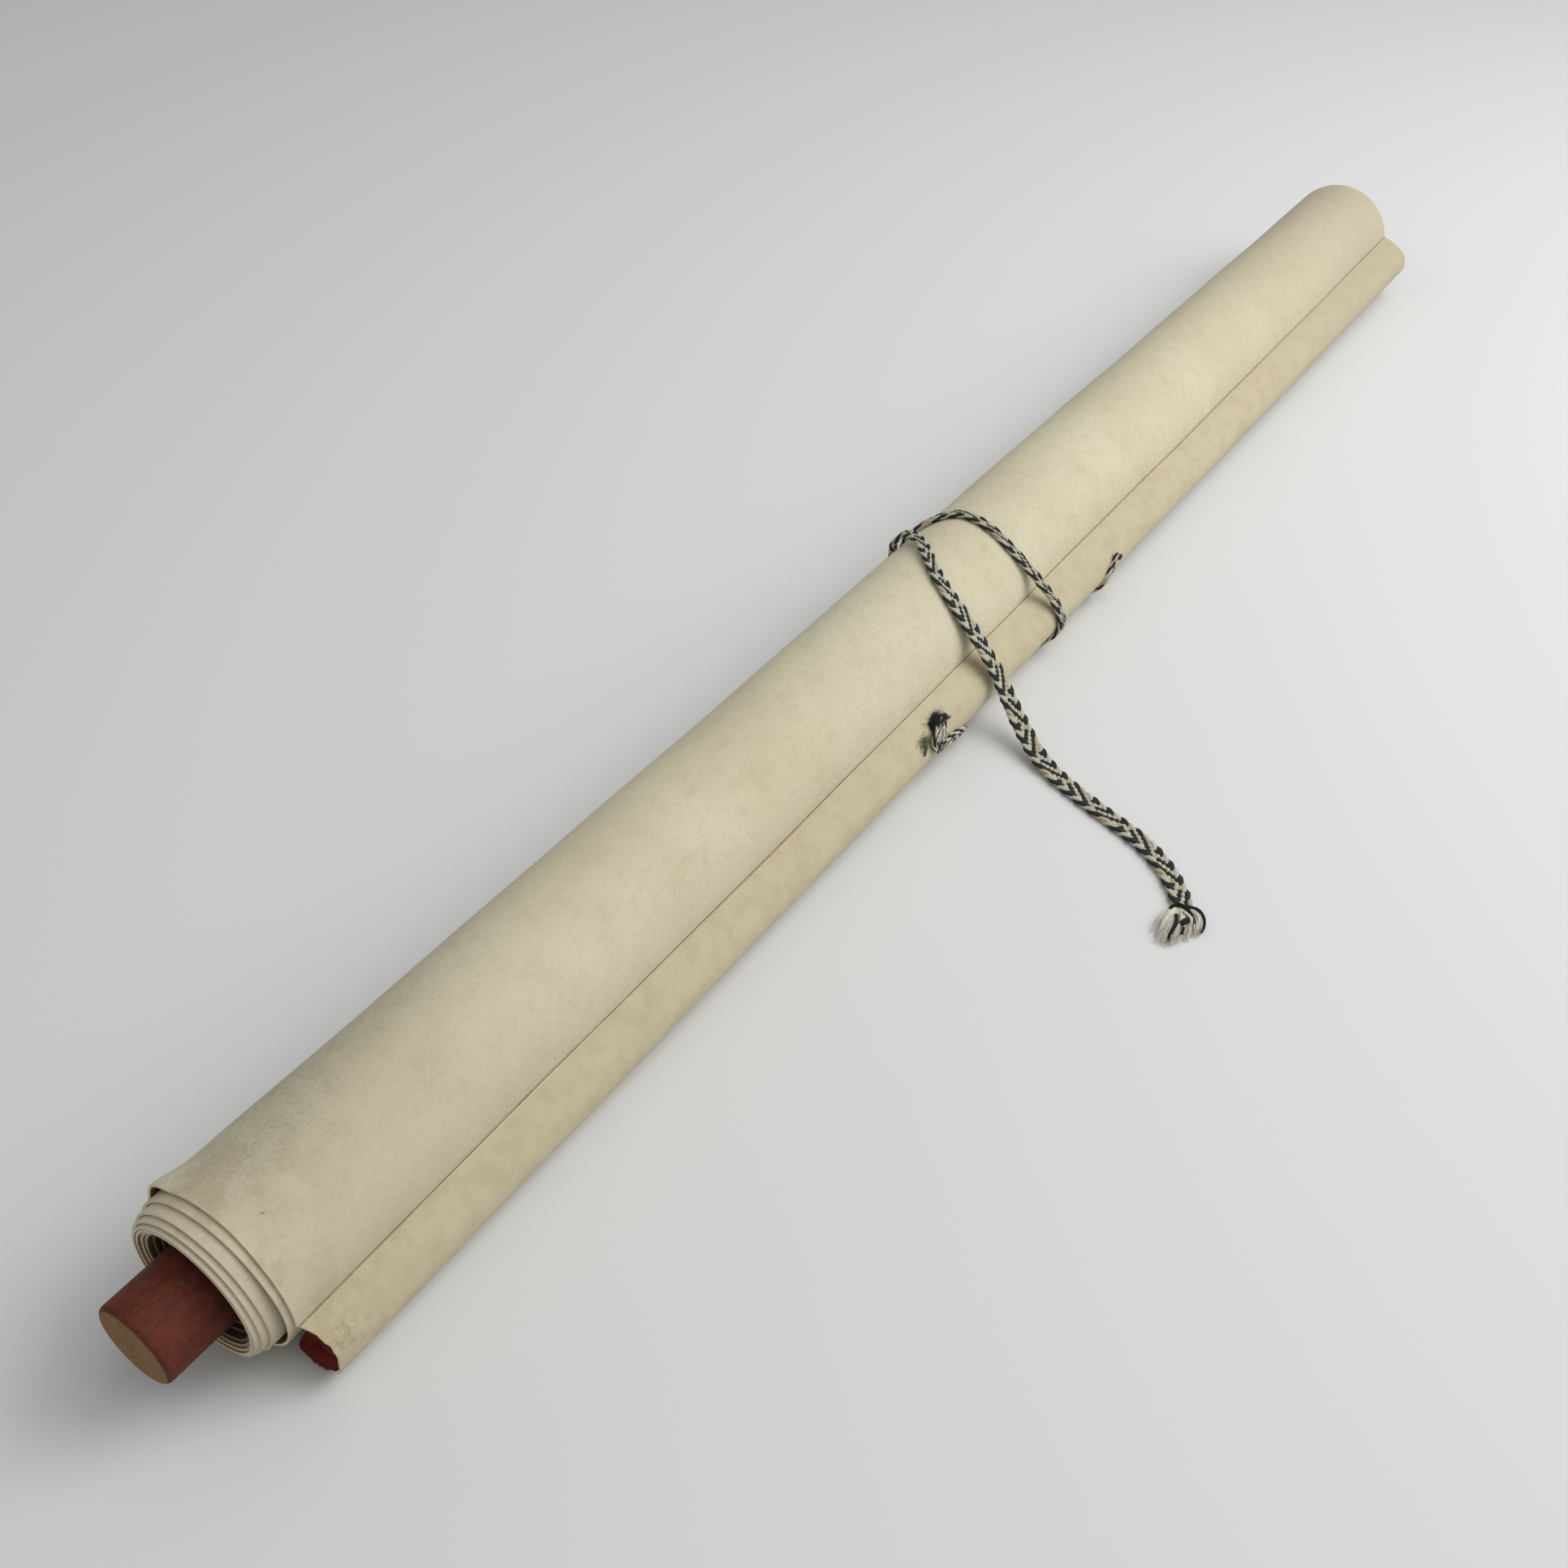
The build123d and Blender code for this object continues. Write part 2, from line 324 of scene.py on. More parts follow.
def rod_wood():
    """Red lacquered rod."""
    m = Nodes("red_rod_wood")
    mottle = m.noise(1.3, 4, 0.6)
    m.base = m.mix(m.ramp(mottle, 0.35, 0.7), (110, 24, 10), (70, 17, 7))
    m.stain_and_shade((38, 12, 8), 0.7, m.ramp(m.noise(0.7, 3, 0.6), 0.50, 0.68))
    m.bump(mottle, 0.4, 0.15)
    return m.finish(0.85, specular=0.2)


def roller_wood():
    m = Nodes("plain_roller_wood")
    grain = m.noise(2.0, 4, 0.6, 0.3, m.stretch((0.08, 1.0, 1.0)))
    m.base = m.mix(m.ramp(grain, 0.35, 0.7), (168, 134, 96), (128, 96, 64))
    m.bump(grain, 0.2, 0.1)
    return m.finish(0.7)


def wire_metal():
    m = Nodes("eyelet_wire")
    tarnish = m.noise(0.7, 3, 0.6)
    m.base = m.mix(m.ramp(tarnish, 0.40, 0.52), (206, 192, 156), (62, 54, 40))
    return m.finish(m.ramp(tarnish, 0.38, 0.6, 0.25, 0.6), metallic=1.0)


def thread(name, light, dark, sheen):
    """Cotton thread in a braid: fine twisted fibres along each strand."""
    m = Nodes(name)
    twist = m.noise(0.35, 3, 0.6)
    m.base = m.mix(m.ramp(twist, 0.35, 0.68), light, dark)
    m.stain_and_shade(dark, 0.4, m.ramp(m.noise(2.4, 2, 0.5), 0.5, 0.72))
    m.bump(twist, 0.5, 0.12)
    return m.finish(0.85, sheen=sheen, sheen_rough=0.5)


materials = {
    "paper": outer_paper(),
    # In each rolled paper, the last colour is painted shade deep inside the roll's hollow end
    "paper_back": rolled_paper(
        # The inner side is darker and browner than the outer one: partly its own colour and partly painted
        # shade of the roll's inside
        "paper_back", (170, 145, 102), (150, 124, 84), (116, 92, 58), (50, 32, 17)),
    # The cut edges are painted lighter than the paper: painted light on edges that face away from the lamps
    "paper_edge_painted_light": rolled_paper(
        "paper_edge_painted_light", (226, 214, 188), (212, 198, 170), (176, 160, 130), (118, 94, 62)),
    "turns": rolled_paper(
        "inner_turns_paper", (196, 184, 160), (189, 176, 151), (162, 147, 120), (64, 43, 23)),
    # Darker paper in the seam's groove: dirt in the crease and painted shade
    "shaded_crease": finish_paper(paper_nodes("crease_dirt_and_shade_paper", (152, 138, 107), (134, 120, 90), (100, 88, 62))),
    "knob": knob_wood(),
    "rod": rod_wood(),
    "roller": roller_wood(),
    "wire": wire_metal(),
    "white_thread": thread("white_thread", (206, 202, 186), (156, 152, 134), 0.2),
    "black_thread": thread("black_thread", (30, 36, 31), (14, 17, 14), 0.03),
    "tan_thread": thread("tan_thread", (192, 178, 150), (164, 146, 116), 0.1),
    # The loose cotton is painted lighter than the braid's white thread: painted light against the shade its
    # dense fibres cast on each other
    "cotton": thread("loose_cotton_painted_light", (238, 235, 222), (214, 209, 190), 0.3),
    "green_thread": thread("green_thread", (78, 116, 76), (36, 62, 40), 0.1),
}


# Meshes

def grid_faces(rows, columns, first=0, flip=False):
    """Faces between the points of a grid that is stored row by row."""
    corners = [first + row * columns + column for row in range(rows - 1) for column in range(columns - 1)]
    faces = [(a, a + 1, a + columns + 1, a + columns) for a in corners]
    return [face[::-1] for face in faces] if flip else faces


def tube_faces(rows, around, first=0, flip=False):
    """Faces between rings of points along a tube, with closed ends."""
    faces = []
    for row in range(rows - 1):
        for corner in range(around):
            a = first + row * around + corner
            b = first + row * around + (corner + 1) % around
            faces.append((a, b, b + around, a + around))
    last = first + (rows - 1) * around
    faces.append(tuple(reversed(range(first, first + around))))
    faces.append(tuple(range(last, last + around)))
    return [face[:1] + face[:0:-1] for face in faces] if flip else faces


def add_object(name, data):
    new_object = bpy.data.objects.new(name, data)
    bpy.context.scene.collection.objects.link(new_object)
    return new_object


def make_piece(name, points, faces, slots, slot_of_face=0, sharp=180):
    """A smooth mesh piece in metres from points in millimetres, riding on the scroll."""
    mesh = bpy.data.meshes.new(name)
    mesh.from_pydata((np.asarray(points) * MM).tolist(), [], faces)
    for slot_name in slots:
        mesh.materials.append(materials[slot_name])
    mesh.polygons.foreach_set("material_index", np.broadcast_to(slot_of_face, len(faces)).astype(np.int32))
    mesh.polygons.foreach_set("use_smooth", np.full(len(faces), True))
    mesh.validate()
    mesh.update()
    if sharp < 180:
        mesh.set_sharp_from_angle(angle=math.radians(sharp))
    piece = add_object(name, mesh)
    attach(piece, "root")
    return piece


# The cords' routes, in metres. Where it is hidden, the hanging cord lies in loose bends, because its visible
# ends are shorter than in the solids.

hanging_route = [
    (-0.0795, -0.0238, 0.0192), (-0.0848, -0.0254, 0.018), (-0.088, -0.0264, 0.0151),
    (-0.0868, -0.0266, 0.0124), (-0.0805, -0.0266, 0.0112), (-0.0735, -0.0265, 0.0102),
    (-0.068, -0.0258, 0.0072), (-0.063, -0.0228, 0.0038), (-0.0585, -0.02, 0.0024),
    (-0.0535, -0.0152, 0.0017), (-0.0485, -0.0126, 0.0016), (-0.0435, -0.015, 0.0016),
    (-0.0385, -0.0196, 0.0016), (-0.033, -0.0206, 0.0017), (-0.028, -0.0172, 0.0022),
    (-0.0225, -0.0134, 0.0032), (-0.013, -0.0125, 0.0039), (-0.0025, -0.0133, 0.0035),
    (0.004, -0.0162, 0.0022), (0.0095, -0.0202, 0.0016), (0.0145, -0.0202, 0.0016),
    (0.019, -0.016, 0.0016), (0.0235, -0.0124, 0.0016), (0.0285, -0.0136, 0.0017),
    (0.033, -0.0186, 0.002), (0.0362, -0.0216, 0.0032), (0.0336, -0.0256, 0.0068),
    (0.0356, -0.0272, 0.0118), (0.0392, -0.0272, 0.0138), (0.0432, -0.0268, 0.0172),
]

winding_route = [
    (-0.016, -0.0102, 0.003), (-0.0165, -0.0048, 0.0014), (-0.017, 0.0018, 0.0011),
    (-0.0173, 0.0098, 0.0011), (-0.0178, 0.0201, 0.0011), (-0.0174, 0.0279, 0.0056),
    (-0.012, 0.0328, 0.0182), (-0.013, 0.0322, 0.0293), (-0.0178, 0.0273, 0.0381),
    (-0.0118, 0.0216, 0.0434), (-0.0074, 0.0128, 0.0471), (-0.0092, 0.0016, 0.0469),
    (-0.0098, -0.0084, 0.0418), (-0.0065, -0.0175, 0.0315), (-0.0024, -0.025, 0.0205),
    (-0.0018, -0.0278, 0.0144), (-0.0012, -0.0272, 0.0088), (-0.0032, -0.0236, 0.0044),
    (-0.0095, -0.0174, 0.0012), (-0.0185, -0.0101, 0.0011), (-0.0238, -0.0013, 0.0011),
    (-0.0262, 0.0089, 0.0011), (-0.0286, 0.0201, 0.0011), (-0.0275, 0.0279, 0.0056),
    (-0.0205, 0.0328, 0.0182), (-0.0195, 0.0322, 0.0293), (-0.0257, 0.0288, 0.0384),
    (-0.025, 0.0249, 0.0433), (-0.0285, 0.0192, 0.0464), (-0.034, 0.012, 0.0477),
    (-0.042, 0.0042, 0.0474), (-0.048, -0.0042, 0.0449), (-0.0495, -0.0125, 0.0385),
    (-0.0483, -0.0198, 0.0286), (-0.0474, -0.0268, 0.0186), (-0.0498, -0.0336, 0.0106),
    (-0.0546, -0.0415, 0.006), (-0.0602, -0.0502, 0.0026), (-0.0648, -0.06, 0.0013),
    (-0.0686, -0.0704, 0.0011), (-0.0724, -0.0814, 0.0011), (-0.0754, -0.0918, 0.0012),
    (-0.0796, -0.1012, 0.0011), (-0.0854, -0.1092, 0.0011), (-0.0916, -0.1154, 0.0011),
    (-0.0962, -0.1188, 0.0011),
]


def route_line(route):
    """Points in millimetres along a route given in metres, read from its smooth spline."""
    curve = bpy.data.curves.new("route", "CURVE")
    curve.dimensions = "3D"
    spline = curve.splines.new("NURBS")
    spline.points.add(len(route) - 1)
    for point, place in zip(spline.points, route):
        point.co = (*place, 1.0)
    spline.order_u = 3
    spline.use_endpoint_u = True
    spline.resolution_u = 24
    holder = add_object("route", curve)
    bpy.context.view_layer.update()
    mesh = bpy.data.meshes.new_from_object(holder)
    line = np.array([vertex.co for vertex in mesh.vertices], float) / MM
    bpy.data.objects.remove(holder)
    bpy.data.meshes.remove(mesh)
    return line


def line_lengths(line):
    """Length along a line at each of its points."""
    return np.concatenate([[0.0], np.cumsum(np.linalg.norm(np.diff(line, axis=0), axis=1))])


def resampled(line, count):
    """The same line with this many evenly spaced points."""
    lengths = line_lengths(line)
    marks = np.linspace(0, lengths[-1], count)
    return np.stack([np.interp(marks, lengths, line[:, axis]) for axis in range(3)], axis=1)


def unit(vectors):
    return vectors / np.maximum(np.linalg.norm(vectors, axis=-1, keepdims=True), 1e-9)


def blur(values, passes):
    """Smooths points or vectors along a line, with its ends kept."""
    values = values.copy()
    for _ in range(passes):
        values[1:-1] = (values[:-2] + 2 * values[1:-1] + values[2:]) / 4
    return values


cord_spacing = 0.8
cord_half_thick = 0.9
cord_on_rod = 0.68  # the taut cord sinks a little into the paper over the rod
floor_gap = 0.05
lowest = 0.03  # no point of the paper or a braid comes nearer to the table


def push_out(line, centre, reach, where=True):
    """Moves the points of a line, in Y and Z, out to this distance from a centre."""
    spoke = line[:, 1:] - centre
    distance = np.linalg.norm(spoke, axis=1)
    lift = np.where(where, np.maximum(reach - distance, 0), 0)
    line[:, 1:] += spoke / distance[:, None] * lift[:, None]


def seated(route):
    """The route's line, kept out of the roll, the rod and the floor."""
    line = route_line(route)
    line = resampled(line, round(line_lengths(line)[-1] / cord_spacing) + 1)
    for _ in range(2):
        push_out(line, upper_centre, roll_radius + cord_half_thick, line[:, 2] > 12)
        push_out(line, rod_centre(line[:, 0]), sleeve_radius + cord_on_rod)
        line[:, 2] = np.maximum(line[:, 2], cord_half_thick + floor_gap)
    return blur(line, 3)


def cord_sides(line, lands):
    """Normals of the cord's flat side, and its side vectors."""
    direction = unit(np.gradient(line, axis=0))
    flat = 0
    for centre, radius in [(upper_centre, roll_radius), (rod_centre(line[:, 0]), sleeve_radius)]:
        spoke = line[:, 1:] - centre
        gap = np.maximum(np.linalg.norm(spoke, axis=1) - radius, 0) + 1
        flat = flat + unit(spoke) / gap[:, None] ** 2
    normal = np.concatenate([np.zeros((len(line), 1)), unit(flat)], axis=1)
    if lands:
        share = smooth(*lands, line_lengths(line))[:, None]
        normal = unit(normal * (1 - share) + np.array([0, 0, 1.0]) * share)
    normal = blur(normal, 24)
    normal = unit(normal - direction * np.sum(normal * direction, axis=1, keepdims=True))
    return normal, np.cross(direction, normal)


# The braid has nine strands. From edge to edge each one goes over two others, under one,
# over one, under one, over one and under two.

strand_count = 9
strand_colours = ["black_thread", "white_thread"] * 4 + ["tan_thread"]
cord_slots = ["white_thread", "black_thread", "tan_thread"]
strand_half_thick = 0.46
over_marks = np.array([0.0, 2.5, 3.5, 4.5, 5.5, 6.5, 9.0])  # crossings where a strand changes sides
strand_fullness = {"black_thread": 1.34, "white_thread": 1.06, "tan_thread": 1.0}


def strand_height(crossing):
    """+1 where a strand is on top, and -1 where it is underneath."""
    index = np.clip(np.searchsorted(over_marks, crossing, side="right") - 1, 0, len(over_marks) - 2)
    start = over_marks[index]
    end = over_marks[index + 1]
    wave = np.sin(np.pi * (crossing - start) / (end - start))
    sign = np.where(index % 2 == 0, 1.0, -1.0)
    return sign * np.maximum(wave, 0) ** 0.55


def braid_mesh(line, normal, side, widths, pitches, around=8):
    """Points, faces and slots of a flat braid's strands."""
    turns = np.cumsum(np.diff(line_lengths(line)) / ((pitches[1:] + pitches[:-1]) / 2))
    turns = np.concatenate([[0.0], turns])
    slant = np.arctan(2 * widths / pitches)
    strand_width = np.minimum(pitches / strand_count * np.sin(slant) * 1.12, widths * 0.5)
    points, faces, slots = [], [], []
    for strand, colour in enumerate(strand_colours):
        phase = (turns + strand / strand_count) % 1.0
        crossing = np.where(phase < 0.5, phase * 2, phase * 2 - 1) * strand_count
        sway = np.arcsin(0.965 * -np.cos(2 * np.pi * phase)) / math.asin(0.965)
        across = sway * (widths - strand_width) / 2
        height = strand_height(crossing) * strand_half_thick
        centre = line + side * across[:, None] + normal * height[:, None]
        run = unit(np.gradient(centre, axis=0))
        flat_side = unit(np.cross(run, normal))
        up = np.cross(flat_side, run)
        half_width = strand_width / 2 * strand_fullness[colour]
        ring = []
        for angle in np.arange(around) * 2 * math.pi / around:
            wide = math.copysign(abs(math.cos(angle)) ** 0.8, math.cos(angle))
            ring.append(centre + flat_side * (half_width * wide)[:, None]
                        + up * (strand_half_thick * 1.02 * math.sin(angle)))
        tube = tube_faces(len(line), around, strand * len(line) * around)
        points.append(np.stack(ring, axis=1).reshape(-1, 3))
        faces += tube
        slots += [cord_slots.index(colour)] * len(tube)
    points = np.concatenate(points)
    points[:, 2] = np.maximum(points[:, 2], lowest)
    return points, faces, slots


hanging_line = seated(hanging_route)
winding_line = seated(winding_route)

# Width of the braid and length of its pattern, as pairs of length along the cord and size
hanging_widths = [(0, 1.6), (8, 2.5), (22, 3.1), (36, 3.8), (137, 4.0), (152, 2.9), (162, 2.2), (172, 1.5)]
hanging_pitches = [(0, 26)]
winding_widths = [
    (0, 4.2), (60, 3.4), (80, 3.4), (105, 3.7), (150, 3.7), (165, 3.2), (200, 3.8), (262, 3.6),
    (282, 4.0), (296, 4.6), (312, 5.9), (330, 6.4), (375, 6.6), (400, 6.4), (430, 6.6),
]
winding_pitches = [
    (0, 32), (80, 29), (165, 29), (262, 27), (300, 24), (345, 24), (375, 26), (400, 28), (430, 29),
]
winding_lands = (292, 366)  # where the cord's flat side turns from the roll to the table


def braided_cord(name, node, line, widths, pitches, lands=None):
    sizes = [np.interp(line_lengths(line), *zip(*marks)) for marks in (widths, pitches)]
    points, faces, slots = braid_mesh(line, *cord_sides(line, lands), *sizes)
    piece = make_piece(name, points, faces, cord_slots, slots)
    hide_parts(node)
    return piece


hanging_piece = braided_cord("hanging_braid", "hanging_cord", hanging_line, hanging_widths, hanging_pitches)
winding_piece = braided_cord(
    "winding_braid", "winding_cord", winding_line, winding_widths, winding_pitches, winding_lands)


# The paper

cord_tree = KDTree(len(winding_line) + len(hanging_line))
for index, place in enumerate(np.concatenate([winding_line, hanging_line])):
    cord_tree.insert(place, index)
cord_tree.balance()
press_reach = 4.6  # the paper is pressed in this far to each side of a cord
press_edge = 2.2
press_gap = 0.12
press_through = 6.2  # and this deep into the roll
cord_zone = (near_x + 285, near_x + 400)


def press_depth(place, normal):
    """How far a cord presses the surface in at a place on the roll."""
    deepest = 0.0
    for point, _, _ in cord_tree.find_range(place, press_reach + press_edge):
        offset = np.array(point) - place
        height = float(offset @ normal)
        across = float(np.linalg.norm(offset - normal * height))
        need = cord_half_thick + press_gap - height
        if need > 0:
            share = 1 - smooth(press_edge - 0.2, press_reach, across)
            deepest = max(deepest, need * float(share))
    return deepest


def waviness(x, angle):
    """Slow unevenness of the roll's surface."""
    place = along(x)
    return (0.16 * np.sin(place / 61 + 1.3) * np.cos(angle - 0.8)
            + 0.10 * np.sin(place / 23 + 2.0 * angle)
            + 0.07 * np.sin(place / 11.5 - 3.1 * angle + 0.7))


seam_near = 188.0  # where the paper leaves the roll for the rod, in degrees
seam_far = 170.0
groove_depth = 0.9


def turn_radius(turned):
    """Radius of the sheet's outer side, growing evenly with the turning."""
    return roller_radius + sheet_thick + (turned / 180 - 0.5) * step


full_turning = half_turns * 180.0
gap_reach = 60.0
gap_outward = 0.45
gap_inward = 0.85
corner_angle = 46.0  # where the outermost turn's near corner has lifted
corner_reach = 20.0
corner_rise = 1.7


def turn_looseness(x, turned, degrees):
    """How far a turn stands out from its even place at the near end."""
    behind = full_turning - turned
    front = smooth(118, 178, degrees % 360) * (1 - smooth(205, 250, degrees % 360))
    gap = front * (1 - smooth(0, gap_reach, along(x)))
    inner = smooth(430, 500, behind) * (1 - smooth(700, 2300, behind))
    outer = 1 - smooth(400, 480, behind)
    return gap * (gap_outward * outer - gap_inward * inner)


def corner_lift(x, turned, degrees):
    """The small curl of the outermost edge at the upper left."""
    place = along(x) - near_edge(turn_radius(turned))
    last = full_turning - turned < 260
    curl = smooth(0, 1, 1 - np.abs(degrees - corner_angle) / corner_reach)
    return corner_rise * last * curl * (1 - smooth(0, 14, place)) ** 1.5


def roll_points(x, turned):
    """Outer side of the wound sheet and its normals, at each x and each turning in degrees."""
    index = np.clip(np.floor(turned / 180), 0, half_turns - 1)
    upper = index % 2 == 1
    angle = np.radians(np.where(upper, rod_angle - 180, rod_angle) + turned - 180 * index)
    centre = np.where(upper[..., None], upper_centre, lower_centre)
    degrees = np.degrees(angle)
    radius = roller_radius + sheet_thick + index * step
    radius = radius + turn_looseness(x, turned, degrees) + corner_lift(x, turned, degrees)
    radius = radius + waviness(x, angle) * smooth(0, 40, np.abs(np.sin(angle / 2 - math.radians(135))) * 100)
    normal = ray(angle)
    return centre + normal * radius[..., None], normal


def pressed(points, normals, depth_below):
    """Moves points in where a cord presses, and less so deeper in the roll."""
    flat_points = points.reshape(-1, 3)
    flat_normals = normals.reshape(-1, 2)
    below = np.broadcast_to(depth_below, points.shape[:-1]).reshape(-1)
    near = (flat_points[:, 0] > cord_zone[0]) & (flat_points[:, 0] < cord_zone[1]) & (below < press_through)
    for index in np.nonzero(near)[0]:
        normal = np.array([0.0, *flat_normals[index]])
        depth = press_depth(flat_points[index] + normal * below[index], normal)
        flat_points[index] -= normal * depth * (1 - below[index] / press_through)
    return flat_points.reshape(points.shape)


def edge_wander(draw, count, marks, spread):
    """Slow unevenness of the near edge along the paper."""
    return np.interp(np.linspace(0, 1, count), np.linspace(0, 1, marks), draw.normal(0, spread, marks))


edge_thick = 0.72  # the near edges have swollen
packed_thick = 0.88  # the inner turns touch each other


def swollen(thick, reach, marks):
    """The paper's thickness at each distance from its near edge."""
    return edge_thick + (thick - edge_thick) * smooth(0, reach, marks)


def wound_rows(marks, turned_at, wander):
    """Outer side of the wound sheet and its normals, in rows at these distances from the near edge."""
    places, normals = [], []
    for mark in marks:
        turned = turned_at(mark)
        x = near_x + near_edge(turn_radius(turned)) + mark + wander * (1 - smooth(0, 10, mark))
        place, normal = roll_points(x, turned)
        places.append(np.column_stack([x, place]))
        normals.append(normal)
    return np.array(places), np.array(normals)


def sheet_piece(name, outside, normals, slots, thick, shaded_crease=()):
    """A closed sheet from a grid of points on its outer side, in rows that run along the paper."""
    rows, columns = outside.shape[:2]
    outside[..., 2] = np.maximum(outside[..., 2], lowest)
    depth = np.concatenate([np.zeros((rows, columns, 1)), normals], axis=2) * thick[:, None, None]
    inside = outside - depth
    inside[..., 2] = np.maximum(inside[..., 2], lowest)
    half = rows * columns
    front = grid_faces(rows, columns)
    back = grid_faces(rows, columns, half, flip=True)
    grid = np.arange(half).reshape(rows, columns)
    border = np.concatenate([grid[:, 0], grid[-1, 1:], grid[-2::-1, -1], grid[0, -2:0:-1]]).tolist()
    edges = [(b, a, a + half, b + half) for a, b in zip(border, border[1:] + border[:1])]
    slot_of_face = [3 if index % (columns - 1) in shaded_crease else 0 for index in range(len(front))]
    slot_of_face += [1] * len(back) + [2] * len(edges)
    points = np.concatenate([outside, inside]).reshape(-1, 3)
    return make_piece(name, points, front + back + edges, slots, slot_of_face, 38)


outer_turning = 540.0  # degrees of the sheet that the finer mesh covers
x_spans = [(0, 12, 14), (12, 40, 11), (40, 285, 31), (285, 400, 59), (400, 690, 27)]
x_marks = np.concatenate([np.linspace(low, high, steps + 1)[:-1] for low, high, steps in x_spans]
                         + [np.linspace(690, sheet_width, 6)])


def rod_profile(x, seam, seam_normal):
    """The sheet from the seam round the rod, at one x: places and outward normals."""
    centre = rod_centre(x)
    spoke = seam - centre
    arc_start = math.atan2(spoke[1], spoke[0]) + math.acos(sleeve_radius / np.linalg.norm(spoke))
    half_flat = math.acos(sleeve_flat / sleeve_radius)
    arc_end = flat_turn + 2 * math.pi - half_flat - 0.12
    arc = centre + sleeve_radius * ray(np.linspace(arc_start, arc_end, arc_columns))
    bridge = unit(arc[0] - seam)
    down = -right_of(seam_normal)
    groove = seam + np.array([
        -0.10 * seam_normal,
        -0.45 * seam_normal + 0.05 * down,
        -groove_depth * seam_normal + 0.12 * (down + bridge),
        -0.30 * seam_normal + 0.22 * bridge,
        0.42 * bridge,
    ])
    share = np.linspace(0.2, 0.8, bridge_columns)[:, None]
    span = seam + (arc[0] - seam) * share + right_of(bridge) * 0.35 * np.sin(math.pi * share)
    half_width = sleeve_radius * math.sin(half_flat) * np.linspace(-0.90, 0.80, flat_columns)[:, None]
    flat = centre - outward * sleeve_flat + right_of(outward) * half_width
    places = np.concatenate([groove, span, arc, flat])
    return places, right_of(unit(np.gradient(places, axis=0)))


rod_short = 2.45  # the rod is this much shorter than its solid at the near end
rod_face = rod_low[0] + rod_short
face_slant = 1.5  # and its flat side reaches further than its round one
groove_columns = 5
bridge_columns = 4
arc_columns = 34
flat_columns = 9
sleeve_columns = groove_columns + bridge_columns + arc_columns + flat_columns
roll_columns = 170


def torn_edge(draw):
    """How far the sleeve's torn near edge stands back, at each point round it."""
    rough = np.convolve(draw.normal(0, 1, sleeve_columns), [0.25, 0.5, 0.25], mode="same")
    place = np.arange(sleeve_columns)
    over_face = rod_face - (near_x + outer_creep) - 0.45
    back = over_face * smooth(0, groove_columns + bridge_columns + 2, place)
    hidden = smooth(28, 34, place) * 0.95
    return 0.32 * rough * smooth(0, 6, place) + back + hidden


def outer_sheet():
    """The outermost turns and the sleeve round the rod, as one sheet."""
    draw = np.random.default_rng(7)
    start = full_turning - outer_turning
    torn = torn_edge(draw)
    wander = edge_wander(draw, roll_columns + sleeve_columns, 24, 0.10)[:roll_columns]

    def turned_at(mark):
        seam = seam_near + (seam_far - seam_near) * (outer_creep + mark) / (sheet_width + outer_creep)
        end = full_turning - (rod_angle - seam)
        return start + (end - start) * np.linspace(0, 1, roll_columns)

    wound, wound_normals = wound_rows(x_marks, turned_at, wander)
    sleeve, sleeve_normals = [], []
    for row, mark in enumerate(x_marks):
        x = near_x + outer_creep + mark
        place, normal = rod_profile(x, wound[row, -1, 1:], wound_normals[row, -1])
        sleeve.append(np.column_stack([x + torn * (1 - smooth(0, 6, mark)), place]))
        sleeve_normals.append(normal)
    depth_below = np.maximum(roll_radius - turn_radius(np.linspace(start, full_turning, roll_columns)), 0)
    wound = pressed(wound, wound_normals, depth_below)
    outside = np.concatenate([wound, sleeve], axis=1)
    normals = np.concatenate([wound_normals, sleeve_normals], axis=1)
    slots = ["paper", "paper_back", "paper_edge_painted_light", "shaded_crease"]
    # The groove's faces get the crease paper, with dirt and painted shade
    shaded_crease = range(roll_columns - 1, roll_columns + groove_columns - 1)
    piece = sheet_piece("outer_paper", outside, normals, slots, swollen(sheet_thick, 1.0, x_marks), shaded_crease)
    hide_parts("paper_sheet")


def inner_turns():
    """All turns inside the outermost ones."""
    end = full_turning - outer_turning
    turned = np.linspace(0, end, int(end / 6) + 1)
    marks = np.concatenate([[0, 0.4, 0.9, 1.6, 2.8, 5, 9, 15, 30, 70, 150, 290, 318],
                            np.linspace(324, 348, 12), [354, 380, 450, 560, 640, 680, 695, 700, sheet_width]])
    wander = edge_wander(np.random.default_rng(11), len(turned), 60, 0.07)
    outside, normals = wound_rows(marks, lambda mark: turned, wander)
    outside = pressed(outside, normals, roll_radius - turn_radius(turned))
    slots = ["turns", "paper_back", "paper_edge_painted_light"]
    sheet_piece("wound_paper", outside, normals, slots, swollen(packed_thick, 0.6, marks))


outer_sheet()
inner_turns()


# The rod and the frame's own pieces

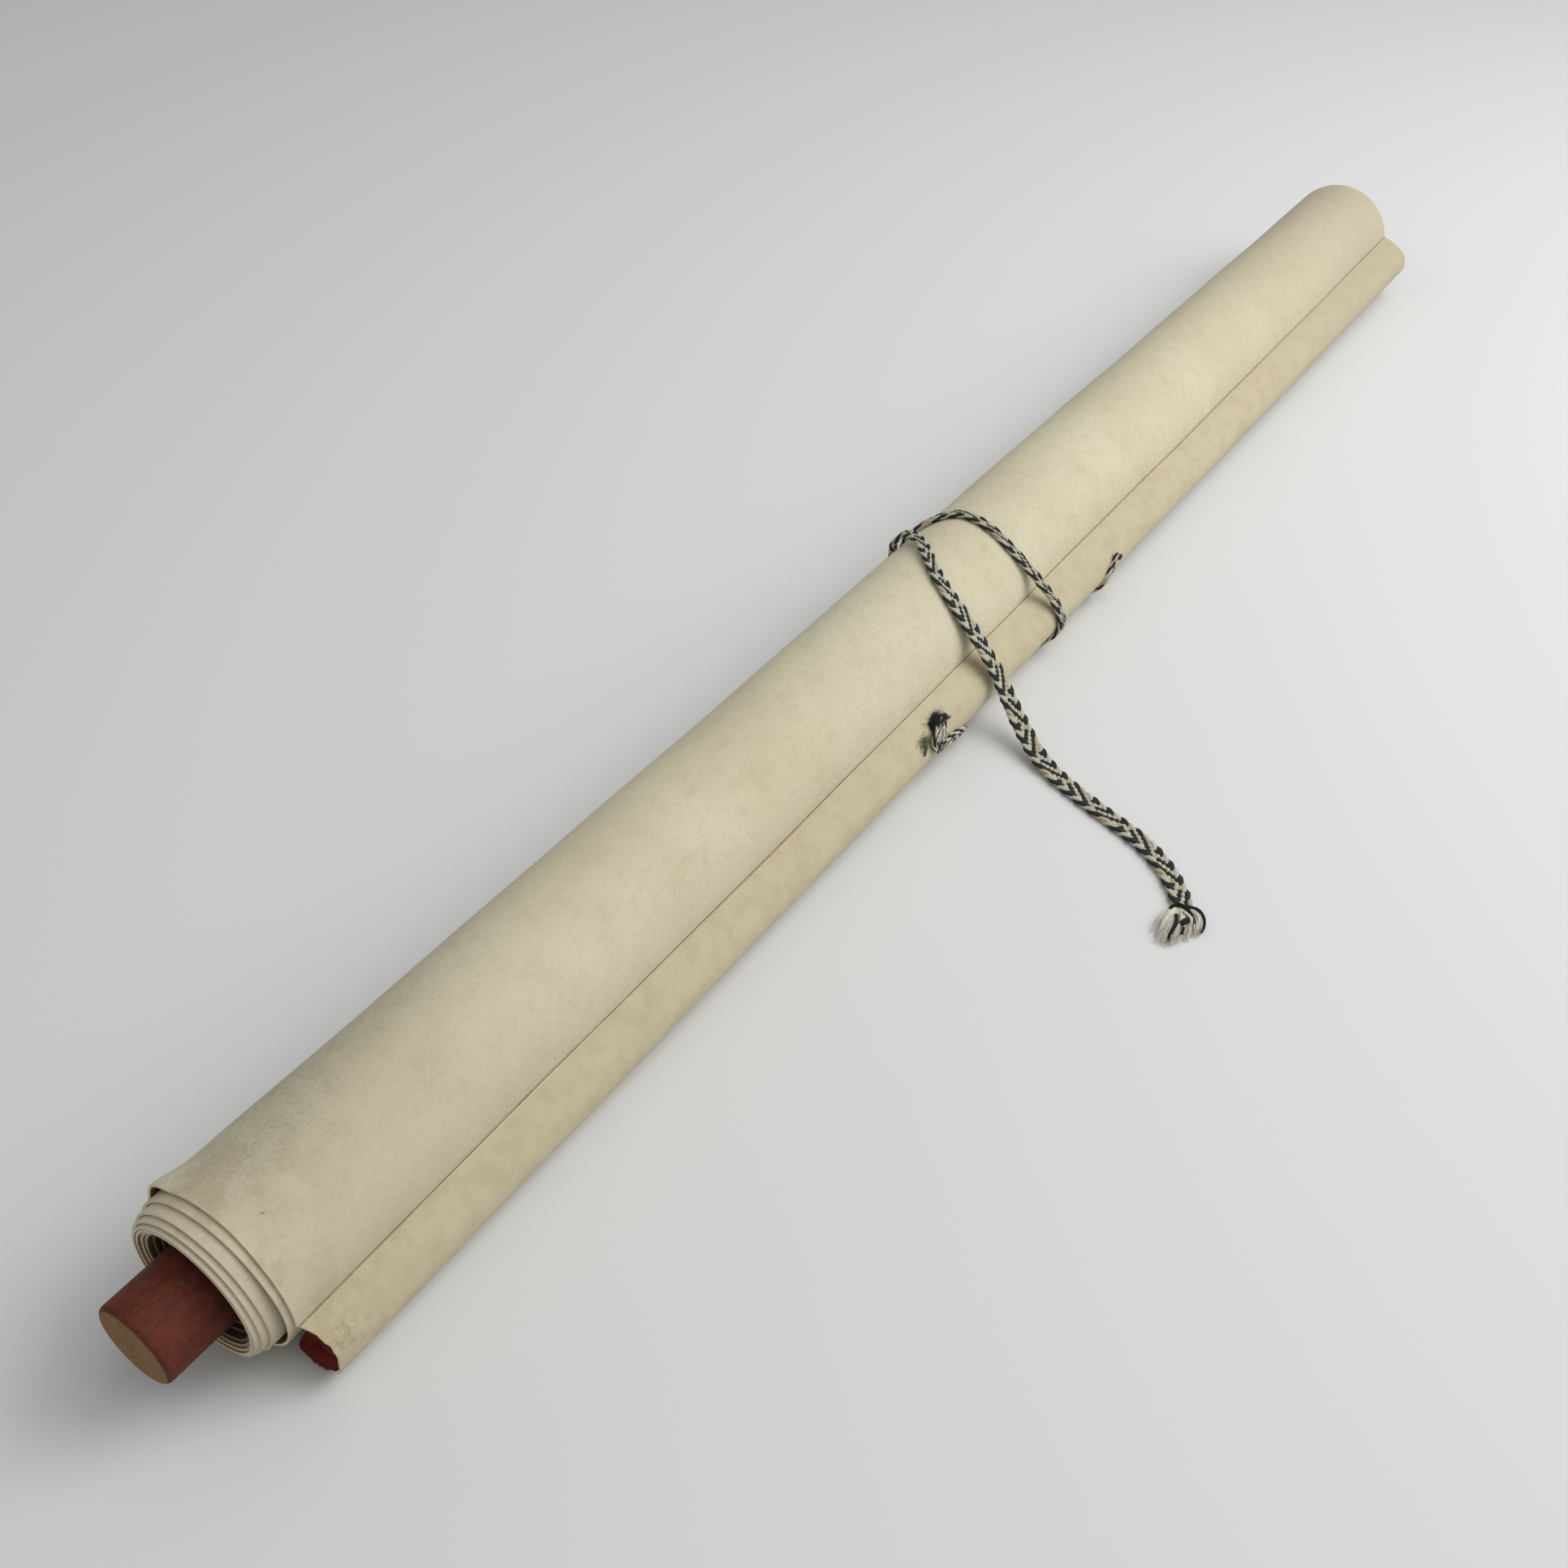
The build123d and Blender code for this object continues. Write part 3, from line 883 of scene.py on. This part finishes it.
def rod_stick():
    """The half-round rod, with rough sawn ends."""
    draw = np.random.default_rng(5)
    half_flat = math.acos(rod_flat / rod_radius)
    outline = rod_radius * ray(np.linspace(flat_turn + half_flat, flat_turn + 2 * math.pi - half_flat, 60))
    flat = outline[-1] + (outline[0] - outline[-1]) * np.linspace(0, 1, 22)[1:-1, None]
    outline = np.concatenate([outline, flat])
    for _ in range(10):
        outline = (np.roll(outline, 1, axis=0) + 2 * outline + np.roll(outline, -1, axis=0)) / 4
    count = len(outline)
    lean = outline @ unit(np.array([0.8, -0.6])) / rod_radius
    slant = -face_slant * smooth(-0.9, 0.9, lean)
    far_face = rod_high[0]
    stations = [(rod_face, 0.0), (rod_face, 0.35), (rod_face, 0.7), (rod_face, 0.93), (rod_face + 0.25, 1.0)]
    stations += [(x, 1.0) for x in np.linspace(rod_face + 20, far_face - 20, 30)]
    stations += [(far_face - 0.25, 1.0), (far_face, 0.93), (far_face, 0.6), (far_face, 0.0)]
    points = []
    for x, size in stations:
        rough = draw.normal(0, 0.16, count) if 0 < size < 1 else np.zeros(count)
        places = rod_centre(np.full(count, x)) + outline * max(size, 0.02)
        front = slant if x < rod_face + 1 else 0
        points.append(np.column_stack([x + rough + front, places]))
    faces = tube_faces(len(stations), count)
    piece = make_piece("half_round_rod", np.concatenate(points), faces, ["rod"], sharp=50)
    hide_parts("top_rod")


rod_stick()
for node, material in [("near_end_knob", "knob"), ("far_end_knob", "knob"), ("roller_rod", "roller")]:
    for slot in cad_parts[node].material_slots:
        slot.material = materials[material]


# Frayed ends and knots. A lock of fibres follows a line of given points and spreads on its way.

loose_slots = ["cotton", "black_thread", "tan_thread", "green_thread", "wire"]
fibre_lowest = 0.10  # the middle of a fibre is at least this far over the table


def fibre_points(line, radius, around, tip):
    direction = unit(np.gradient(line, axis=0))
    up = unit(np.cross(direction, np.array([0.3, -0.7, 0.65])))
    other = np.cross(direction, up)
    taper = np.linspace(1, tip, len(line))[:, None] * radius
    ring = [line + (up * math.cos(angle) + other * math.sin(angle)) * taper
            for angle in np.linspace(0, 2 * math.pi, around, endpoint=False)]
    return np.stack(ring, axis=1).reshape(-1, 3)


def bundle(name, fibres, around=4, tip=0.45):
    """One piece from many thin fibres, each a line, a radius and a colour."""
    points, faces, slots = [], [], []
    first = 0
    for line, radius, colour in fibres:
        tube = tube_faces(len(line), around, first, flip=True)
        points.append(fibre_points(line, radius, around, tip))
        faces += tube
        slots += [loose_slots.index(colour)] * len(tube)
        first += len(line) * around
    return make_piece(name, np.concatenate(points), faces, loose_slots, slots)


def on_sleeve(marks):
    """Places from rows of x, angle round the rod in degrees and height over its paper."""
    x, angle, height = np.asarray(marks, float).T
    reach = (sleeve_radius + height)[:, None]
    return np.column_stack([x, rod_centre(x) + reach * ray(np.radians(angle))])


class Tuft:
    """The fibres of a knot or a frayed end, along given points."""

    def __init__(self, seed, place):
        self.random = np.random.default_rng(seed)
        self.place = place
        self.fibres = []

    def soft_line(self, points, count):
        """A smooth, evenly spaced line that follows given points."""
        return resampled(route_line(self.place(points) * MM), count)

    def lock(self, points, count, start_spread, end_spread, radius, colour, wild, shortest=0.9, flat=0.9):
        """Fibres that lie together at their start and spread towards their tips."""
        line = self.soft_line(points, 12)
        direction = unit(np.gradient(line, axis=0))
        side = unit(np.cross(direction, np.array([0, 0, 1.0])))
        up = np.cross(side, direction)
        share = np.linspace(0, 1, len(line))[:, None]
        spread = start_spread + (end_spread - start_spread) * share
        draw = self.random
        for _ in range(count):
            turn = draw.uniform(0, 2 * math.pi)
            out = math.sqrt(draw.uniform(0, 1))
            offset = side * math.cos(turn) * out + up * math.sin(turn) * out * flat
            sway = side * draw.normal(0, wild) + up * draw.normal(0, wild * 0.5)
            ripple = side * np.sin(share * draw.uniform(4, 9) + turn) * draw.normal(0, wild * 0.4)
            place = line + offset * spread + sway * share**2 + ripple * share
            kept = np.linspace(0, draw.uniform(shortest, 1.0), len(line))
            cut = np.stack([np.interp(kept, share[:, 0], place[:, axis]) for axis in range(3)], axis=1)
            cut[:, 2] = np.maximum(cut[:, 2], fibre_lowest)
            self.fibres.append((cut, radius * draw.uniform(0.8, 1.25), colour))

    def locks(self, rows, widen, *look):
        """Locks from rows of a count, a spread and points."""
        for count, spread, points in rows:
            self.lock(points, count, spread, spread * widen, *look)

    def wisp(self, start, away, bow, colour):
        """A single fine fibre, bowed outwards in its middle."""
        tip = start + away
        self.fibres.append((self.soft_line([start, (start + tip) / 2 + bow, tip], 5), 0.055, colour))


def frayed_end():
    """The tail's end: pale cotton fans out over the table, and black strands curl round it."""
    tuft = Tuft(23, np.array)
    pale = [
        ([(-96.2, -116.6, 1.4), (-102, -115.6, 2.2), (-106.5, -116, 2), (-111, -116.6, 0.5)], 1.2),
        ([(-96.6, -117.4, 1.6), (-102.5, -116.6, 2.8), (-107.5, -117, 2.2), (-112.6, -117.8, 0.5)], 1.3),
        ([(-97, -118, 1.8), (-103, -117.8, 3), (-108.5, -118.2, 2.3), (-114, -119.2, 0.5)], 1.4),
        ([(-97.2, -118.6, 1.8), (-103, -119, 3), (-108.5, -119.8, 2.3), (-114.4, -120.8, 0.5)], 1.4),
        ([(-97.4, -119.2, 1.8), (-102.6, -120.2, 2.9), (-107.6, -121.2, 2.2), (-113.2, -122.4, 0.5)], 1.4),
        ([(-97.6, -119.8, 1.8), (-102.2, -121.4, 2.7), (-106.4, -122.6, 2), (-111.2, -123.9, 0.5)], 1.3),
        ([(-97.8, -120.4, 1.8), (-101.2, -122.8, 2.5), (-105, -124.2, 1.8), (-108.8, -125.4, 0.5)], 1.2),
        ([(-97.6, -120.8, 1.6), (-99.8, -123.8, 2.2), (-102.8, -125.4, 1.6), (-106, -126.6, 0.5)], 1.1),
    ]
    for points, spread in pale:
        tuft.lock(points, 30, 0.55, spread * 0.9, 0.12, "cotton", 0.5, 0.62, 0.6)
        tuft.lock(points, 3, 0.5, spread, 0.09, "tan_thread", 0.5, 0.6, 0.6)
    tuft.locks([
        (24, 0.42, [(-98.6, -118.6, 2.6), (-100.6, -122.4, 3.4), (-101.8, -124, 3.1), (-105.6, -124.3, 1.4)]),
        (20, 0.38, [(-99.8, -119, 3), (-103.4, -121.2, 3.5), (-105.2, -121.2, 3.3), (-109.6, -121.4, 1.6)]),
        (18, 0.36, [(-99.6, -117.6, 2.8), (-104.2, -117, 3.3), (-108.8, -117, 1.8)]),
        (40, 0.80, [(-97, -120.8, 1.8), (-97.6, -124.4, 2.2), (-100.6, -126.3, 2), (-104.2, -126.6, 0.8)]),
    ], 1.3, 0.12, "cotton", 0.15, 0.85, 0.6)
    tuft.locks([
        (60, 0.74, [(-101.9, -116.6, 1), (-99.6, -115.9, 2.2), (-97.6, -117.4, 3), (-98.4, -120.4, 3.3),
                    (-100.4, -123.2, 3), (-102.2, -124.6, 2.2)]),
        (60, 0.72, [(-96.4, -120.6, 1.8), (-95.5, -122.2, 2), (-96.4, -124.2, 2.1), (-98.4, -126.2, 2),
                    (-101.4, -127.5, 1.6), (-103.6, -127.2, 1)]),
        (40, 0.54, [(-102.4, -119, 3.3), (-104.5, -120.2, 3.6), (-107.2, -120.7, 3.2), (-110.8, -120.5, 2),
                    (-112, -121.4, 1.4)]),
        (60, 0.86, [(-102.4, -123, 3.4), (-104, -122, 3.7), (-105.4, -121.7, 3.3)]),
        (26, 0.48, [(-105.4, -122.8, 2.6), (-107, -123.1, 2.4), (-108, -123.3, 2)]),
    ], 0.9, 0.10, "black_thread", 0.08, 0.9, 0.8)
    return bundle("frayed_end", tuft.fibres)


def near_knot():
    """Black thread wound round the near eyelet, with grey cotton and a wisp of green under it."""
    tuft = Tuft(31, on_sleeve)
    draw = tuft.random
    tuft.locks([
        (44, 0.85, [(-84.4, 140, 0.6), (-82, 130, 1.9), (-79.4, 121, 1.5), (-77.8, 114, 0.4)]),
        (48, 0.85, [(-84.6, 130, 0.5), (-81.4, 128, 2.4), (-78.4, 129, 2.2), (-75.2, 135, 0.5)]),
        (38, 0.80, [(-82.6, 139, 0.7), (-80, 134, 2.4), (-77.2, 127, 1.9), (-75.6, 124, 0.4)]),
        (36, 0.75, [(-84, 122, 0.4), (-81.6, 117, 1.4), (-79.2, 113, 1.2), (-77.6, 115, 0.4)]),
        (26, 0.55, [(-79, 132, 1.9), (-76.8, 135, 1.3), (-75, 138, 0.7), (-74.4, 141, 0.3)]),
        (36, 0.75, [(-83, 124, 1.2), (-81, 122, 2.4), (-79, 124, 2.4), (-77.4, 128, 1.2)]),
    ], 1.0, 0.11, "black_thread", 0.35, 0.7)
    for _ in range(90):
        start = np.array([draw.uniform(-84.5, -75.5), draw.uniform(114, 140), 0.9])
        away = np.array([draw.normal(-0.6, 1.2), draw.normal(-6, 7), draw.uniform(-0.7, 0.4)])
        tuft.wisp(start, away, [0, 0, draw.uniform(0.2, 0.8)], "black_thread")
    grey = [
        (26, 0.9, [(-83.2, 134, 1.8), (-85.2, 141, 1.6), (-86.8, 150, 0.9), (-88.2, 158, 0.3)]),
        (26, 0.9, [(-82.2, 137, 1.9), (-83.4, 146, 1.6), (-84.9, 156, 1.1), (-86.2, 166, 0.5)]),
        (26, 0.9, [(-81, 139, 1.8), (-81.6, 148, 1.6), (-82.6, 158, 1.2), (-83.6, 170, 0.6)]),
        (18, 0.7, [(-80.2, 142, 1.4), (-80, 151, 1.3), (-80.4, 160, 1), (-81, 170, 0.5)]),
    ]
    for count, spread, points in grey:
        tuft.lock(points, count, 0.5, spread, 0.085, "cotton", 0.4, 0.7, 0.6)
        tuft.lock(points, 4, 0.5, spread, 0.07, "black_thread", 0.4, 0.6, 0.6)
    single = [
        [(-78, 140, 1.1), (-79.2, 149, 0.9), (-79.8, 158, 0.9), (-78.6, 168, 1), (-78.6, 176, 1.1),
         (-80.6, 183, 0.9)],
        [(-84.2, 160, 2), (-86.2, 166, 2.1), (-87.4, 172, 1.9), (-86.8, 180, 1.6)],
    ]
    for points in single:
        tuft.lock(points, 16, 0.28, 0.34, 0.10, "black_thread", 0.06)
    for _ in range(190):
        start = np.array([draw.normal(-90.0, 1.5), draw.normal(138, 7), 0.15])
        away = np.array([draw.normal(-0.5, 1.3), draw.normal(6, 6), draw.uniform(-0.05, 0.5)])
        bow = [draw.normal(0, 0.4), 0, draw.uniform(0.1, 0.7)]
        tuft.wisp(start, away, bow, "green_thread" if draw.uniform() < 0.75 else "tan_thread")
    stray = [(-90.6, 148, 0.3), (-91.6, 156, 0.5), (-92.9, 165, 0.3)]
    tuft.lock(stray, 20, 0.32, 0.32, 0.10, "black_thread", 0.05)
    return bundle("near_knot", tuft.fibres)


def far_knot():
    """A small black knot at the far eyelet."""
    tuft = Tuft(37, on_sleeve)
    tuft.locks([
        (26, 0.42, [(42.4, 166, 0.5), (43.1, 163, 1.2), (43.9, 160, 1.1), (44.6, 157, 0.3)]),
        (26, 0.42, [(43.9, 168, 0.8), (43.7, 163, 1.4), (43.4, 158, 1.1), (43.2, 154, 0.3)]),
        (40, 0.60, [(42.9, 163, 1.5), (43.8, 161, 2.1), (44.9, 159, 1.7)]),
    ], 1.0, 0.10, "black_thread", 0.12, 0.8)
    return bundle("far_knot", tuft.fibres)


def small_eyelet(name, node, x, angle, ring):
    """The wire ring in the rod, nearly covered by thread."""
    wire = 0.36
    away = np.array([0, *ray(math.radians(angle))])
    surface = np.array([x, *rod_centre(x)]) + away * sleeve_radius
    middle = surface + away * (ring + wire * 0.6)
    turns = np.linspace(-math.pi, math.pi, 33)[:, None]
    loop = middle + ring * (away * np.cos(turns) + np.array([0.8, 0, 0]) * np.sin(turns))
    nail = surface + away * np.linspace(-3.0, 0.3, 8)[:, None]
    piece = bundle(name, [(loop, wire, "wire"), (nail, wire, "wire")], 8, 1.0)
    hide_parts(node)


small_eyelet("near_eyelet_wire", "near_eyelet", -81.2, 134, 1.5)
small_eyelet("far_eyelet_wire", "far_eyelet", 43.4, 160, 0.8)
tuft_piece = frayed_end()
near_knot_piece = near_knot()
far_knot_piece = far_knot()


# Table, lights and camera

floor_half = 4000.0


def pale_table():
    m = Nodes("table")
    m.base = screen_colour((219, 220, 219))
    corners = [(-1, -1), (1, -1), (1, 1), (-1, 1)]
    mesh = bpy.data.meshes.new("table")
    mesh.from_pydata([(x * floor_half * MM, y * floor_half * MM, 0) for x, y in corners], [], [(0, 1, 2, 3)])
    mesh.materials.append(m.finish(0.9, specular=0.1))
    add_object("table", mesh)


def soft_lamp(name, place, aim, size, power):
    light = bpy.data.lights.new(name, "AREA")
    light.shape = "SQUARE"
    light.size = size * MM
    light.energy = power
    lamp = add_object(name, light)
    lamp.location = Vector(place) * MM
    lamp.rotation_euler = (Vector(aim) - Vector(place)).to_track_quat("-Z", "Y").to_euler()


def sky(strength):
    world = bpy.data.worlds.new("soft_room")
    bpy.context.scene.world = world
    world.use_nodes = True
    background = world.node_tree.nodes["Background"]
    background.inputs["Color"].default_value = (1.0, 1.0, 1.0, 1.0)
    background.inputs["Strength"].default_value = strength


pale_table()
sky(0.42)
soft_lamp("window", (520, -700, 820), (0, 0, 20), 900, 8.5)
soft_lamp("ceiling", (240, -620, 1350), (0, 0, 0), 1300, 6.4)

# The camera stands above the near end and looks along the roll
camera_place = (-456.8, -222.0, 359.0)
camera_heading = 34.56  # degrees from +X towards +Y
camera_tilt = 41.0  # degrees below level
sensor_width = 36.0
image_width = 1932
focal_pixels = 2071

camera_data = bpy.data.cameras.new("camera")
camera_data.sensor_width = sensor_width
camera_data.sensor_fit = "HORIZONTAL"
camera_data.lens = sensor_width * focal_pixels / image_width
camera_data.clip_start = 0.01
camera_data.clip_end = 20
camera = add_object("camera", camera_data)
camera.location = Vector(camera_place) * MM
camera.rotation_euler = (math.radians(90 - camera_tilt), 0, math.radians(camera_heading - 90))
bpy.context.scene.camera = camera
bpy.context.scene.view_settings.view_transform = "Standard"
